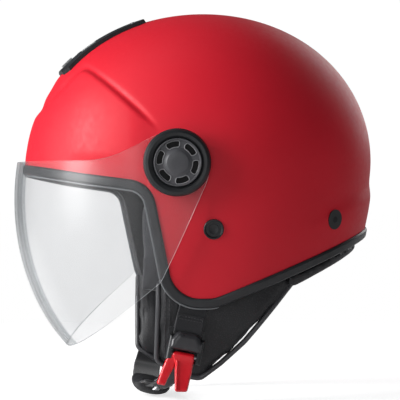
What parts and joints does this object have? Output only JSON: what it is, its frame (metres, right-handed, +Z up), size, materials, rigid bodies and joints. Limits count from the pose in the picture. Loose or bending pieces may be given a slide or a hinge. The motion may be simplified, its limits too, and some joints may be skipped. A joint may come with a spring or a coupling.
{
  "type": "open-face motorcycle helmet",
  "caption": "Open-face helmet: rigid domed shell, padded liner, long clear pivoting visor, top intake vent and a ratchet-buckled chin strap with a chin pad.",
  "frame": {"origin": "centre of the headform: the middle of the shell in plan, at the height of the visor pivots", "axes": "+Z up through the crown, -Y towards the wearer's front, +X to the wearer's left"},
  "size_m": [0.252, 0.2848, 0.3028],
  "materials": {
    "shell_paint": "matte",
    "trim_rubber": "satin",
    "foam": "matte",
    "lining": "matte",
    "leatherette": "satin",
    "lens": "gloss",
    "black_plastic": "satin",
    "grey_plastic": "satin",
    "grille_plastic": "satin",
    "steel": "brushed",
    "webbing": "woven",
    "lever_plastic": "gloss",
    "band_plastic": "gloss"
  },
  "bodies": {
    "helmet": {"outer_shell": "shell_paint", "edge_trim": "trim_rubber", "eps_liner": "foam", "crown_liner": "lining", "neck_roll": "leatherette", "liner_snaps": "black_plastic", "cheek_pad_left": "leatherette", "cheek_pad_right": "leatherette", "pivot_base_left": "black_plastic", "pivot_base_right": "black_plastic", "pivot_screws": "steel", "pivot_t_nuts": "steel", "detent_springs": "steel", "vent_cover": "black_plastic", "vent_grille": "grille_plastic", "vent_screws": "steel", "anchor_caps": "black_plastic", "anchor_rivets": "steel", "anchor_spacers": "steel", "rear_studs": "black_plastic", "stud_rings": "black_plastic"},
    "visor": {"visor_lens": "lens", "pivot_ring_left": "black_plastic", "pivot_ring_right": "black_plastic"},
    "knob_left": {"pivot_knob_left": "grey_plastic"},
    "knob_right": {"pivot_knob_right": "grey_plastic"},
    "vent_slide": {"vent_slider": "grille_plastic"},
    "chin_strap": {"anchor_tabs": "steel", "strap_left": "webbing", "strap_right": "webbing", "ratchet_band": "band_plastic", "band_rivets": "steel", "chin_pad": "leatherette", "buckle_body": "black_plastic", "buckle_pin": "steel", "buckle_spring": "steel"},
    "release_lever": {"buckle_lever": "lever_plastic"}
  },
  "joints": [
    {"name": "visor_pivot", "type": "hinge", "parent": "helmet", "child": "visor", "pos_m": [0, -0.0315, 0], "axis": [-1, 0, 0], "range_deg": [0, 56]},
    {"name": "knob_left_turn", "type": "hinge", "parent": "helmet", "child": "knob_left", "pos_m": [0.12, -0.0315, 0], "axis": [1, 0, 0], "range_deg": [0, 90]},
    {"name": "knob_right_turn", "type": "hinge", "parent": "helmet", "child": "knob_right", "pos_m": [-0.12, -0.0315, 0], "axis": [-1, 0, 0], "range_deg": [0, 90]},
    {"name": "vent_slider_slide", "type": "slide", "parent": "helmet", "child": "vent_slide", "axis": [0, 0.7257, 0.688], "range_m": [0, 0.006]},
    {"name": "chin_strap_swing", "type": "hinge", "parent": "helmet", "child": "chin_strap", "pos_m": [0, -0.0028, -0.05], "axis": [-1, 0, 0], "range_deg": [-10, 10]},
    {"name": "release_lever_lift", "type": "hinge", "parent": "chin_strap", "child": "release_lever", "pos_m": [0.0966, -0.02385, -0.14572], "axis": [0, -0.9792, 0.2028], "range_deg": [0, 45], "stiffness_Nm_per_rad": 0.02}
  ]
}
